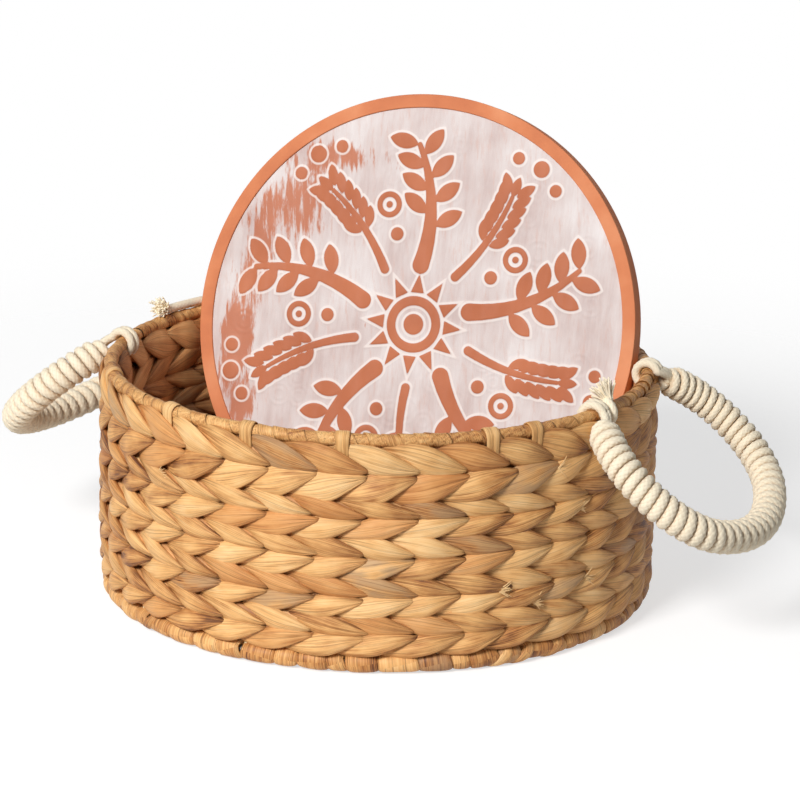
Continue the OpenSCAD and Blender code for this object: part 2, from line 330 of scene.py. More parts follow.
class Bundle:
    """Gathers tubes and patches and makes one piece of them."""

    def __init__(self):
        self.points, self.faces, self.uvs, self.marks = [], [], [], []
        self.count = 0

    def add(self, grid, quads, uv, marks):
        """Adds points (n, 3), faces as rows of four of them, the faces' corner UVs and the points' marks."""
        self.points.append(grid)
        self.faces.append(quads + self.count)
        self.uvs.append(uv)
        self.marks.append(marks)
        self.count += len(grid)

    def tube(self, rings, closed=False, **marks):
        """Skins rings of points, shape (rings, points, 3), into a tube, with metres along it as U."""
        n, m = rings.shape[:2]
        middle = rings.mean(1)
        steps = np.linalg.norm(np.diff(np.vstack([middle, middle[:1]]), axis=0), axis=1)
        u = np.concatenate([[0], np.cumsum(steps)])
        here = np.arange(n * m).reshape(n, m)
        if not closed:
            here = here[:-1]
        there = (here + m) % (n * m)
        quads = np.stack([here, np.roll(here, -1, 1), np.roll(there, -1, 1), there], -1).reshape(-1, 4)
        spans = len(here)
        u0 = np.repeat(u[:spans], m)
        u1 = np.repeat(u[1 : spans + 1], m)
        v0 = np.tile(np.arange(m) / m, spans)
        v1 = v0 + 1 / m
        uv = np.stack([u0, v0, u0, v1, u1, v1, u1, v0], -1).reshape(-1, 4, 2)
        spread = {k: np.repeat(v, m) if np.size(v) == n else np.ravel(v) for k, v in marks.items()}
        self.add(rings.reshape(-1, 3), quads, uv, spread)
        if closed:
            return
        for end, turn in ((0, 1), (n - 1, -1)):
            at_end = {k: v[end * m] if np.size(v) > 1 else v for k, v in spread.items()}
            self.cap(rings[end], turn, at_end)

    def cap(self, ring, turn, marks):
        """Closes a tube's end with triangles to its middle, as quads whose last two points are one."""
        m = len(ring)
        grid = np.vstack([ring, ring.mean(0)])
        k = np.arange(m)[::turn]
        quads = np.stack([k, np.full(m, m), np.full(m, m), np.roll(k, -1)], -1)
        self.add(grid, quads, np.zeros((m, 4, 2)), marks)

    def make(self, name, material):
        """Makes the mesh object, merges the caps to the tubes and turns its faces outwards."""
        points = np.vstack(self.points)
        faces = np.vstack(self.faces)
        uvs = np.vstack(self.uvs)
        corners = [[a, b, d] if b == c else [a, b, c, d] for a, b, c, d in faces.tolist()]
        kept = np.ones(faces.shape, bool)
        kept[:, 2] = faces[:, 1] != faces[:, 2]
        mesh = bpy.data.meshes.new(name)
        mesh.from_pydata(points, [], corners)
        layer = mesh.uv_layers.new(name="UVMap")
        layer.data.foreach_set("uv", uvs[kept].astype(np.float32).ravel())
        for mark in sorted(set().union(*self.marks)):
            pairs = zip(self.marks, self.points)
            values = [np.broadcast_to(m.get(mark, 0.0), len(grid)) for m, grid in pairs]
            attribute = mesh.attributes.new(mark, "FLOAT", "POINT")
            attribute.data.foreach_set("value", np.concatenate(values).astype(np.float32))
        made = bpy.data.objects.new(name, mesh)
        bpy.context.scene.collection.objects.link(made)
        mesh.materials.append(material)
        select_only(made)
        bpy.ops.object.mode_set(mode="EDIT")
        bpy.ops.mesh.select_all(action="SELECT")
        bpy.ops.mesh.remove_doubles(threshold=0.002 * MM)
        bpy.ops.mesh.normals_make_consistent(inside=False)
        bpy.ops.object.mode_set(mode="OBJECT")
        bpy.ops.object.shade_smooth()
        return made


def select_only(made):
    bpy.ops.object.select_all(action="DESELECT")
    made.select_set(True)
    bpy.context.view_layer.objects.active = made


def settle(piece, body, slot, *nodes):
    """Fixes a finished piece to its body and hides the solids it stands for."""
    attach(piece, body)
    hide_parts(*nodes)


def headings(path, closed):
    if closed:
        return unit(np.roll(path, -1, 0) - np.roll(path, 1, 0))
    return unit(np.gradient(path, axis=0))


def out_and_across(path, out, closed=False):
    """Two directions square to a path at each point: near the given one, and across it."""
    t = headings(path, closed)
    n = unit(out - np.sum(out * t, -1, keepdims=True) * t)
    return n, np.cross(n, t)


def sweep(path, out, across, through, closed=False, roll=0.0, sides=16, square=1.0):
    """Rings of points along a path. Each is an oval, across wide and through thick, that faces out."""
    n, b = out_and_across(path, out, closed)
    roll = np.broadcast_to(roll, len(path))[:, None]
    n, b = n * np.cos(roll) + b * np.sin(roll), b * np.cos(roll) - n * np.sin(roll)
    a = np.arange(sides) / sides * TURN
    wide = np.sign(np.cos(a)) * np.abs(np.cos(a)) ** square
    deep = np.sign(np.sin(a)) * np.abs(np.sin(a)) ** square
    x = np.broadcast_to(across, len(path))[:, None] * wide
    y = np.broadcast_to(through, len(path))[:, None] * deep
    return path[:, None, :] + b[:, None, :] * x[..., None] + n[:, None, :] * y[..., None]


class Twining(NamedTuple):
    """How two strands cross between the stakes that they pass, in metres."""

    stand_out: float
    climb: float
    lean_in: float
    broad: float
    narrow: float
    thick: float


def stitch_values(draw, count, phase, low, high):
    """A drawn value for each stitch in front and each behind, blended where the strand goes through."""
    front = draw.uniform(low, high, count)[np.round(phase / TURN).astype(int) % count]
    behind = draw.uniform(low, high, count)[np.floor(phase / TURN).astype(int) % count]
    share = np.clip(0.5 + 0.8 * np.cos(phase), 0, 1)
    return behind + (front - behind) * share


def twine(bundle, radius, height, stitches, slope, size, draw, flat=False, start=0.0, steps=10, sides=12):
    """Two strands twisted round a ring of stakes. A flat ring lies level, as a floor's does."""
    theta = np.linspace(0, TURN, stitches * steps, endpoint=False)
    radial = toward(theta)
    level = np.broadcast_to(UP, radial.shape)
    out, side = (level, radial) if flat else (radial, level)
    base = radial * radius + UP * height
    count = stitches // 2
    for strand in (0, 1):
        phase = count * (theta - start) - math.pi * strand
        face, swing = np.cos(phase), np.sin(phase)

        def vary(low, high):
            return stitch_values(draw, count, phase, low, high)

        lift = size.stand_out * face * vary(0.85, 1.0)
        climb = -slope * (size.climb * swing * vary(0.85, 1.15) + size.lean_in * face)
        path = base + out * lift[:, None] + side * (climb + vary(-0.5, 0.5) * MM)[:, None]
        broad = size.narrow + (size.broad * vary(0.88, 1.1) - size.narrow) * np.abs(face) ** 1.15
        rings = sweep(path, out, broad, size.thick * vary(0.88, 1.0), True, vary(-0.16, 0.16), sides, 1.12)
        # pinch rises where the strand turns behind a stake, and the leaf finish paints shade there.
        bundle.tube(rings, True, tone=vary(0, 1), tint=vary(0, 1), pinch=1 - np.abs(face) ** 0.7)


LEAF_FOLDS = 8


class Leaf(NamedTuple):
    """Half sizes of one leaf of the wall, in metres, and how far it leans over its neighbour."""

    long: float
    broad: float
    thick: float
    fall: float
    lean: float


def wall_leaf(bundle, ring, theta, height, slope, side, leaf, draw, painted_side_shade=0.0, steps=26, face=24, back=6):
    """A leaf from under its left neighbour, over its right one and in between the stakes.

    Slope 1 falls to the right as seen from outside, and side -1 is the inside of the wall.
    """
    t = -np.cos(np.linspace(0, math.pi, steps))
    long, broad, thick, fall = (v * draw.uniform(0.9, 1.1) for v in leaf[:4])
    point = np.where(t > 0, draw.uniform(1.45, 1.75), draw.uniform(1.5, 2.1))
    taper = (1 - np.abs(t) ** point) ** np.where(t > 0, 1.22, 0.9)
    wide = 0.3 * MM + broad * taper
    deep = 0.35 * MM + thick * taper**0.75
    u = long * t + draw.uniform(-1, 1) * MM
    z = height - slope * fall * (t + 0.1 * np.sin(math.pi * t)) + draw.uniform(-0.45, 0.45) * MM
    rise = 0.2 * MM + 2.9 * MM * ease((t + 1) / 1.25) + draw.uniform(-0.3, 0.3) * MM
    rise = rise - 3.6 * MM * np.clip((t - 0.84) / 0.16, 0, 1) ** 2
    outer = np.linspace(0, math.pi, face, endpoint=False)
    inner = np.linspace(math.pi, TURN, back, endpoint=False)
    alpha = np.concatenate([outer, inner])
    across, through = np.cos(alpha), np.sin(alpha)
    y = deep[:, None] * np.where(through > 0, through, through * 0.7)
    for _ in range(LEAF_FOLDS):
        at, depth = draw.uniform(-0.85, 0.85), draw.uniform(0.1, 0.6) * MM
        grip = 0.15 + 0.85 * ease((t * draw.choice([-1, 1, 1]) + 0.3) / 1.2)
        fold = np.exp(-(((across - at) / 0.1) ** 2)) * np.clip(through, 0, 1)
        y = y - fold * depth * (grip * taper**0.3)[:, None]
    x = wide[:, None] * across
    du, dz = np.gradient(u), np.gradient(z)
    size = np.hypot(du, dz)
    tilt = slope * (leaf.lean + draw.uniform(-0.08, 0.08))
    u = u[:, None] - (dz / size)[:, None] * x
    z = z[:, None] + (du / size)[:, None] * x
    r = ring + side * (rise[:, None] + y + x * math.sin(tilt))
    angle = theta + u / ring
    rings = np.stack([r * np.cos(angle), r * np.sin(angle), z], -1)
    edge = np.where(through > 0, np.abs(across) ** 4, 1.0)
    # tone: a random tone, lowered by the painted side shade; pinch: the leaf's ends, where the leaf finish
    # paints shade.
    marks = {"tone": draw.uniform(0, 1) - painted_side_shade, "tint": draw.uniform(0, 1), "pinch": np.abs(t) ** 1.8}
    bundle.tube(rings, edge=np.tile(edge, steps), **marks)


# Torn leaf ends: degrees round the wall and height in mm
FRAYS = (
    (-112, 80), (-24.5, 90), (-18.5, 69), (-16, 34), (-30, 28.5), (-37.5, 37), (64, 52), (118, 71), (171, 40)
)


def fray(bundle, ring, theta, height, draw):
    """A torn leaf end that stands off the wall: short pale fibres in a fan."""
    radial, side = toward(theta), toward(theta + math.pi / 2)
    for _ in range(9):
        aim = draw.uniform(-1.0, 1.0)
        length = draw.uniform(3.0, 6.5) * MM
        t = np.linspace(0, 1, 8)[:, None]
        root = radial * (ring + 4.2 * MM) + UP * (height + draw.uniform(-1, 1) * MM)
        root = root + side * draw.uniform(-1, 1) * MM
        run = side * math.cos(aim) + UP * math.sin(aim)
        lift = 2.4 * MM * t - 1.4 * MM * t * t * draw.uniform(0.4, 1.6)
        path = root + run * length * t + radial * lift
        across = 0.5 * MM * (1 - 0.7 * t[:, 0])
        rings = sweep(path, np.broadcast_to(radial, path.shape), across, 0.22 * MM, sides=6)
        bundle.tube(rings, tone=1.6, tint=0.5, pinch=0.0)


class WallSettings(bpy.types.PropertyGroup):
    long: bpy.props.FloatProperty(
        name="Leaf length", description="Half of a leaf's length", default=20.6 * MM, unit="LENGTH"
    )
    broad: bpy.props.FloatProperty(
        name="Leaf breadth", description="Half of a leaf's width", default=5.2 * MM, unit="LENGTH"
    )
    thick: bpy.props.FloatProperty(
        name="Leaf thickness", description="Height of a leaf's rounded face", default=2.5 * MM, unit="LENGTH"
    )
    taller: bpy.props.FloatProperty(
        name="Top rows",
        description="How much higher the second row reaches than the others",
        default=2.9 * MM,
        unit="LENGTH",
    )
    pale: bpy.props.FloatVectorProperty(
        name="Pale straw",
        description="Lightest colour of the leaf",
        default=linear(249, 207, 148),
        subtype="COLOR",
    )
    golden: bpy.props.FloatVectorProperty(
        name="Golden straw",
        description="Main colour of the leaf",
        default=linear(232, 178, 112),
        subtype="COLOR",
    )
    brown: bpy.props.FloatVectorProperty(
        name="Brown straw",
        description="Darker colour of the leaf",
        default=linear(182, 121, 64),
        subtype="COLOR",
    )
    # Painted shade: this colour darkens the folds, the fine crease lines and the tucked-under ends, and it is
    # the darkest stop of the leaf's own colour.
    crease_shade: bpy.props.FloatVectorProperty(
        name="Crease", description="Colour in the folds", default=linear(92, 48, 22), subtype="COLOR"
    )


class RimSettings(bpy.types.PropertyGroup):
    turns: bpy.props.IntProperty(
        name="Turns", description="Turns of the strip round the rim hoop", default=112
    )
    strip: bpy.props.FloatProperty(
        name="Strip width",
        description="Width of the strip wound round the rim",
        default=8.2 * MM,
        unit="LENGTH",
    )
    border_turns: bpy.props.IntProperty(
        name="Border turns", description="Turns of leaf round the base hoop", default=62
    )


class PlateSettings(bpy.types.PropertyGroup):
    band: bpy.props.FloatProperty(
        name="Rim band", description="Width of the plate's raised rim", default=6.5 * MM, unit="LENGTH"
    )
    step: bpy.props.FloatProperty(
        name="Step", description="Depth of the field below the rim", default=1.2 * MM, unit="LENGTH"
    )
    coat: bpy.props.FloatProperty(
        name="Coat", description="Thickness of the pale coat", default=0.3 * MM, unit="LENGTH"
    )
    relief: bpy.props.FloatProperty(
        name="Relief", description="Height of the motifs above the coat", default=0.5 * MM, unit="LENGTH"
    )


class RopeSettings(bpy.types.PropertyGroup):
    turns: bpy.props.IntProperty(name="Turns", description="Turns of one handle's whipping", default=47)
    rope: bpy.props.FloatProperty(
        name="Rope radius", description="Radius of the whipping's rope", default=2.35 * MM, unit="LENGTH"
    )
    looser: bpy.props.FloatProperty(
        name="Looser tip", description="How much wider the turns lie at the loop's tip", default=0.55
    )
    over: bpy.props.FloatProperty(
        name="Whipping radius", description="Radius over the whipping", default=8 * MM, unit="LENGTH"
    )
    reach: bpy.props.FloatProperty(
        name="Reach", description="From the hinge line to the loop's tip", default=88 * MM, unit="LENGTH"
    )
    half_width: bpy.props.FloatProperty(
        name="Half width", description="Half of the loop's width", default=63 * MM, unit="LENGTH"
    )


class StageSettings(bpy.types.PropertyGroup):
    turn: bpy.props.FloatProperty(
        name="View turn",
        description="Turn of the view about the basket",
        default=math.radians(27),
        subtype="ANGLE",
    )
    distance: bpy.props.FloatProperty(
        name="Distance", description="Level distance of the camera", default=1.7, unit="LENGTH"
    )
    height: bpy.props.FloatProperty(
        name="Height", description="Height of the camera above the floor", default=0.5824, unit="LENGTH"
    )
    key: bpy.props.FloatProperty(name="Key light", description="Power of the main lamp", default=80)
    fill: bpy.props.FloatProperty(
        name="World light", description="Strength of the light all round", default=0.17
    )


class BASKET_OT_stage(bpy.types.Operator):
    """Adds the camera, the lamp, the world and the floor"""

    bl_idname = "basket.stage"
    bl_label = "Stage"

    def execute(self, context):
        made = context.scene.basket_stage
        pan, pitch, roll = math.radians(0.34), math.radians(-16.116), math.radians(1.118)
        lens_px, sensor, picture = 3717.9, 36.0, 800
        camera = bpy.data.objects.new("camera", bpy.data.cameras.new("camera"))
        camera.data.sensor_width = sensor
        camera.data.lens = lens_px / picture * sensor
        camera.data.clip_end = 20
        stand = Matrix.Rotation(made.turn, 4, "Z") @ Matrix.Translation((0, -made.distance, made.height))
        level = Matrix.Rotation(-pan, 4, "Z") @ Matrix.Rotation(math.pi / 2 + pitch, 4, "X")
        camera.matrix_world = stand @ level @ Matrix.Rotation(roll, 4, "Z")
        context.scene.collection.objects.link(camera)
        context.scene.camera = camera
        self.lamp(context, made)
        self.floor()
        self.world(context, made.fill)
        context.scene.view_settings.view_transform = "Standard"
        return {"FINISHED"}

    def lamp(self, context, s):
        """A soft disc of light at the camera's upper left, aimed at the basket's middle."""
        light = bpy.data.lights.new("key", "AREA")
        light.shape = "DISK"
        light.size = 0.9
        light.energy = s.key
        made = bpy.data.objects.new("key", light)
        spot = Matrix.Rotation(s.turn, 3, "Z") @ Vector((-1.2, -1.95, 1.7))
        aim = (Vector((0, 0, 0.08)) - spot).to_track_quat("-Z", "Y")
        made.matrix_world = Matrix.Translation(spot) @ aim.to_matrix().to_4x4()
        context.scene.collection.objects.link(made)

    def white_seen(self, f):
        """1 where the camera, a gloss or a clear body sees the surface, and 0 for the light it gives back."""
        path = f.node("ShaderNodeLightPath").socket.node.outputs
        rays = ("Camera", "Glossy", "Transmission")
        camera, gloss, clear = (Wire(f, path[f"Is {ray} Ray"]) for ray in rays)
        return (camera + gloss + clear).sum("MINIMUM", 1.0)

    def floor(self):
        """A white floor that fades out round the basket."""
        bpy.ops.object.select_all(action="DESELECT")
        bpy.ops.mesh.primitive_plane_add(size=8)
        made = bpy.context.active_object
        made.name = "floor"
        f = new_finish("floor_white")
        f.surface.inputs["Emission Strength"].default_value = 1.0
        seen = self.white_seen(f)
        glow = seen * 0.62
        f.feed(f.surface.inputs["Emission Color"], f.vector(glow, glow, glow))
        far = f.node("ShaderNodeVectorMath", {"operation": "LENGTH"}, [f.place()], out="Value")
        f.feed(f.surface.inputs["Alpha"], far.fit(0.3, 0.7, 1.0, 0.0))
        grey = 0.8 - seen * 0.32
        made.data.materials.append(f.coat(f.vector(grey, grey, grey), 0.9))

    def world(self, context, strength):
        """White where it is seen, and only as bright as the strength where it lights things."""
        world = bpy.data.worlds.new("studio")
        context.scene.world = world
        f = Finish(world)
        backdrop = f.tree.nodes["Background"]
        backdrop.inputs["Color"].default_value = (1, 1, 1, 1)
        f.feed(backdrop.inputs["Strength"], self.white_seen(f) * (1 - strength) + strength)


class BASKET_OT_wall(bpy.types.Operator):
    """Plaits the ten rows of the wall round the stakes"""

    bl_idname = "basket.wall"
    bl_label = "Plaited wall"
    # Painted shade is least at this angle round the wall.
    unshaded_angle = math.radians(-68)  # where round the wall the leaves are palest

    def execute(self, context):
        s = context.scene.basket_wall
        finish = husk("leaf", s.pale, s.golden, s.brown, s.crease_shade)
        # Painted light: the inside leaves get colours of their own, tuned so that the shaded inside of the
        # wall renders as bright as it looks.
        pale, golden, brown = linear(240, 194, 134), linear(212, 156, 100), linear(178, 124, 76)
        inside = husk("inner_leaf", pale, golden, brown, s.crease_shade)
        filling = Twining(
            stand_out=1.6 * MM,
            climb=2.4 * MM,
            lean_in=0.0,
            broad=3.4 * MM,
            narrow=2.4 * MM,
            thick=2.4 * MM,
        )
        ring = hoop_ring("rim_hoop")
        step = middle_z(ROWS[0]) - middle_z(ROWS[1])
        levels = [middle_z(node) - step / 2 for node in ROWS]
        levels[0] += s.taller
        tops = [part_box("rim_wrap")[0].z + 0.6 * MM, *levels]
        for i, (node, low, high) in enumerate(zip(ROWS, levels, tops)):
            middle, tall = (low + high) / 2, (high - low) / step
            slope = 1 if i % 2 == 0 else -1
            draw = draws(100 + i)
            leaf = Leaf(s.long, s.broad * tall, s.thick, fall=3.5 * MM * tall, lean=0.2)
            bundle, hidden = Bundle(), Bundle()
            for k in range(len(STAKES)):
                at = TURN * (k - 0.33) / len(STAKES)
                # Painted shade: leaves further round the wall from the unshaded angle get a darker tone, and
                # the top row gets 0.14 less of it.
                painted_side_shade = 0.42 * (1 - math.cos(at - self.unshaded_angle))
                if node == ROWS[0]:
                    painted_side_shade -= 0.14
                wall_leaf(bundle, ring, at, middle, slope, 1, leaf, draw, painted_side_shade)
                wall_leaf(hidden, ring, at, middle, -slope, -1, leaf, draw, steps=16, face=12, back=4)
            twine(hidden, ring, middle, len(STAKES), slope, filling, draw, sides=10)
            for angle, height in FRAYS:
                if low < height * MM <= high:
                    fray(bundle, ring, math.radians(angle), height * MM, draw)
            settle(bundle.make(f"plait_{i + 1}", finish), "basket", "weave", node)
            settle(hidden.make(f"plait_inside_{i + 1}", inside), "basket", "weave", node)
        return {"FINISHED"}


class BASKET_OT_frame(bpy.types.Operator):
    """Finishes the stakes, the hoops and the spoke wires"""

    bl_idname = "basket.frame"
    bl_label = "Stakes and wires"

    def execute(self, context):
        reed = green_reed("reed")
        steel = wire_steel("steel")
        for node in STAKES:
            self.finish_node(node, reed)
        for node in ("rim_hoop", "base_hoop", "base_spokes"):
            self.finish_node(node, steel)
        return {"FINISHED"}

    def finish_node(self, node, material):
        """Gives a solid of the CAD a material in place of its own."""
        slots = frame["nodes"][node].material_slots
        for slot in slots:
            slot.material = material
        if not slots:
            frame["nodes"][node].data.materials.append(material)


def wound_strip(bundle, ring, height, turns, width, core, thick, draw, lean=0.0, steps=22, sides=12):
    """A strip wound round a hoop: each turn has its own width, lift and tone."""
    theta = np.linspace(0, TURN, turns * steps, endpoint=False)
    turn_no = theta / TURN * turns

    def vary(low, high):
        values = draw.uniform(low, high, turns)
        whole = np.floor(turn_no).astype(int)
        share = ease(turn_no - whole)
        return values[whole % turns] * (1 - share) + values[(whole + 1) % turns] * share

    swing = theta + vary(-0.22, 0.22) * TURN / turns
    angle = -turns * theta + math.pi
    radial = toward(swing)
    out = radial * np.cos(angle)[:, None] + UP * np.sin(angle)[:, None]
    reach = core + thick * vary(0.7, 1.25)
    path = radial * ring + UP * height + out * reach[:, None]
    across = width / 2 * vary(0.8, 1.15)
    rings = sweep(path, out, across, thick * vary(0.85, 1.1), True, lean + vary(-0.1, 0.1), sides, 1.25)
    bundle.tube(rings, True, tone=vary(-0.2, 0.75), tint=vary(0.1, 0.95), pinch=vary(0, 0.3))


class BASKET_OT_rim(bpy.types.Operator):
    """Winds the rim and ties it to the stakes"""

    bl_idname = "basket.rim"
    bl_label = "Wound rim"
    ties = (5, 8, 11, 14, 22, 25, 27, 29, 32, 33)  # places of the ties, of 36 round the rim

    def execute(self, context):
        wall, s = context.scene.basket_wall, context.scene.basket_rim
        strip = husk("strip", wall.pale, wall.golden, wall.brown, wall.crease_shade)
        ring, height = hoop_ring("rim_hoop"), middle_z("rim_hoop")
        bundle = Bundle()
        wound_strip(bundle, ring, height, s.turns, s.strip, 1.85 * MM, 0.62 * MM, draws(7), lean=0.05)
        settle(bundle.make("rim_winding", strip), "basket", "strip", "rim_wrap")
        bundle = Bundle()
        draw = draws(8)
        for place in self.ties:
            self.lash(bundle, TURN * place / 36, ring, height, draw)
        settle(bundle.make("rim_ties", strip), "basket", "strip", "rim_lashes")
        return {"FINISHED"}

    def lash(self, bundle, angle, ring, height, draw):
        """Two strips side by side over the rim, whose ends go down into the top row."""
        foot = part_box("twined_row_1")[1].z - 4 * MM
        leg = np.linspace(foot, height - 1 * MM, 8)
        drawn_in = np.linspace(0.75, 1, 8)
        arc = np.linspace(0, math.pi, 15)
        radial, tangent = toward(angle), toward(angle + math.pi / 2)
        for shift in (-1.3 * MM, 1.2 * MM):
            bow = 3.5 * MM + draw.uniform(0, 0.3) * MM
            x = bow * np.concatenate([drawn_in, np.cos(arc), np.full(8, -1.0)])
            z = np.concatenate([leg, height + bow * np.sin(arc), leg[::-1]])
            slip = np.linspace(0.6, -0.6, len(x)) * draw.uniform(0.4, 1.0) * MM
            path = radial * (ring + x)[:, None] + UP * z[:, None] + tangent * (shift + slip)[:, None]
            out = radial * x[:, None] + UP * np.maximum(z - height, 0)[:, None] + UP * 1e-5
            across = np.interp(z, [foot, height, height + bow], [1.5 * MM, 1.9 * MM, 2.3 * MM])
            tone, tint = draw.uniform(0.3, 1), draw.uniform(0.1, 0.9)
            bundle.tube(sweep(path, out, across, 0.55 * MM, sides=12), tone=tone, tint=tint, pinch=0.15)


class BASKET_OT_base(bpy.types.Operator):
    """Winds the bottom border and plaits the floor"""

    bl_idname = "basket.base"
    bl_label = "Border and floor"
    stitches = ((62 * MM, 36), (32 * MM, 24), (8 * MM, 12), (0.0, 6))  # past this radius, so many a ring

    def execute(self, context):
        wall, s = context.scene.basket_wall, context.scene.basket_rim
        leaf = husk("border_leaf", wall.pale, wall.golden, wall.brown, wall.crease_shade)
        ring, height = hoop_ring("base_hoop"), middle_z("base_border")
        bundle = Bundle()
        draw = draws(21)
        share = draw.uniform(0.6, 1.35, s.border_turns)
        edges = np.concatenate([[0], np.cumsum(share)]) / share.sum() * TURN
        for left, right in zip(edges, edges[1:]):
            width = (right - left) * ring
            slant = draw.uniform(-1.4, 0.6) * MM
            self.turn(bundle, ring, height, (left + right) / 2, width, 2.6 * MM, slant, draw)
            crossed = draw.uniform(0, 1) < 0.2
            if crossed:
                slant = draw.choice([-4, 4]) * MM
                self.turn(bundle, ring, height, right, 5 * MM, 3.0 * MM, slant, draw)
        settle(bundle.make("border_winding", leaf), "basket", "strip", "base_border")
        self.floor(wall)
        return {"FINISHED"}

    def turn(self, bundle, ring, height, theta, width, core, slant, draw):
        """One turn of leaf round the base hoop, full in its middle and drawn in at both edges."""
        a = np.linspace(0, TURN, 26, endpoint=False)
        thick = draw.uniform(1.5, 2.0) * MM
        radial = toward(theta + slant * np.sin(a + 0.6) / ring)
        out = radial * np.cos(a)[:, None] + UP * np.sin(a)[:, None]
        path = radial * ring + UP * height + out * core
        rings = sweep(path, out, width * 0.515, thick, True, draw.uniform(-0.06, 0.06), 18, 0.8)
        bundle.tube(rings, True, tone=draw.uniform(-0.15, 0.85), tint=draw.uniform(0.05, 1), pinch=0.25)

    def floor(self, wall):
        """Rings of twining over the spoke wires, from the hub out to the border."""
        inside = husk("floor_leaf", wall.golden, wall.brown, linear(140, 88, 46), wall.crease_shade)
        low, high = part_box("base_weave")
        middle, half = (low.z + high.z) / 2, (high.z - low.z) / 2
        pitch, innermost = 8.48 * MM, 3 * MM
        size = Twining(
            stand_out=half * 0.42,
            climb=2.6 * MM,
            lean_in=0.3 * MM,
            broad=5.2 * MM,
            narrow=2.2 * MM,
            thick=half * 0.52,
        )
        bundle = Bundle()
        draw = draws(31)
        radius, slope = high.x - 5.4 * MM, 1
        while radius > innermost:
            stitches = next(count for over, count in self.stitches if radius > over)
            thin = min(1.0, radius / (16 * MM))
            sized = size._replace(stand_out=size.stand_out * thin, climb=size.climb * thin)
            twine(bundle, radius, middle, stitches, slope, sized, draw, flat=True, start=math.radians(7.5))
            radius -= pitch
            slope = -slope
        self.floor_core(bundle, high.x - 0.4 * MM, middle)
        settle(bundle.make("floor_plait", inside), "basket", "weave_inside", "base_weave")

    def floor_core(self, bundle, reach, height):
        """A flat ring of weave in the middle of the floor's thickness, which lets no light through. Its tone
        is pushed dark: painted shade seen through the gaps of the twining.
        """
        theta = np.linspace(0, TURN, 96, endpoint=False)
        a = np.linspace(0, TURN, 24, endpoint=False)
        inner, half_thick = 0.4 * MM, 1.1 * MM
        radius = (reach + inner) / 2 + (reach - inner) / 2 * np.cos(a)
        z = height + half_thick * np.sin(a)
        rings = toward(theta)[:, None, :] * radius[:, None] + UP * z[:, None]
        # tone -0.9: painted shade.
        bundle.tube(rings, True, tone=-0.9, tint=0.3, pinch=0.5)


# Motifs of the plate: each gives the distance from its edge in metres, less than 0 inside
def leaf_shape(p, at, angle, length, width):
    """A pointed leaf whose middle is at the given place."""
    c, s = math.cos(angle), math.sin(angle)
    x = (p[..., 0] - at[0]) * c + (p[..., 1] - at[1]) * s
    y = (p[..., 1] - at[1]) * c - (p[..., 0] - at[0]) * s
    half, wide = length / 2, width / 2
    r = (half * half + wide * wide) / (2 * wide)
    return np.hypot(x, np.abs(y) + r - wide) - r


def stem_shape(p, a, b, wide_a, wide_b):
    """A stem from a to b that tapers from one width to the other, with round ends."""
    d = b - a
    t = np.clip(((p - a) @ d) / (d @ d), 0, 1)
    return np.linalg.norm(p - a - t[..., None] * d, axis=-1) - (wide_a + (wide_b - wide_a) * t) / 2


def dot_shape(p, at, radius):
    return np.hypot(p[..., 0] - at[0], p[..., 1] - at[1]) - radius


def ring_shape(p, at, radius, width):
    return np.abs(dot_shape(p, at, radius)) - width / 2


def wedge_shape(p, at, angle, length, width):
    """A triangle that points along the angle."""
    c, s = math.cos(angle), math.sin(angle)
    x = (p[..., 0] - at[0]) * c + (p[..., 1] - at[1]) * s
    y = np.abs((p[..., 1] - at[1]) * c - (p[..., 0] - at[0]) * s)
    slope = math.hypot(length, width / 2)
    edge = (y * length + (x - length) * width / 2) / slope
    return np.maximum(edge, -x)


def polar(radius, angle):
    return np.array([radius * math.cos(angle), radius * math.sin(angle)])


def wheat(p, start, angle, length, bend):
    """An ear of wheat: a bent stalk with pairs of grains and one at its tip."""
    shapes = []
    steps = 9
    place, heading = start, angle
    for i in range(steps):
        ahead = place + polar(length / steps, heading)
        taper = 4.4 - 2.6 * i / steps
        shapes.append(stem_shape(p, place, ahead, taper * MM, (taper - 0.15) * MM))
        if i >= 3:
            for side in (-1, 1):
                grain = heading + side * 0.62
                at = ahead + polar(6.4 * MM, grain) + polar(1.5 * MM, heading + side * math.pi / 2)
                shapes.append(leaf_shape(p, at, grain, 10.6 * MM, 4.9 * MM))
        place, heading = ahead, heading + bend / steps
    shapes.append(leaf_shape(p, place + polar(5.2 * MM, heading), heading, 10 * MM, 4.6 * MM))
    return shapes


def sprig(p, start, angle, length, bend):
    """A broad bent stalk with large leaves set in turn on its two sides."""
    shapes = []
    steps = 10
    place, heading = start, angle
    for i in range(steps):
        ahead = place + polar(length / steps, heading)
        taper = 8.4 - 6.0 * i / steps
        shapes.append(stem_shape(p, place, ahead, taper * MM, (taper - 0.6) * MM))
        if i >= 2:
            side = 1 if i % 2 == 1 else -1
            grow = heading + side * 0.95
            at = ahead + polar((11.5 - 0.35 * i) * MM, grow)
            shapes.append(leaf_shape(p, at, grow, 15 * MM, 7.4 * MM))
        place, heading = ahead, heading + bend / steps
    return shapes


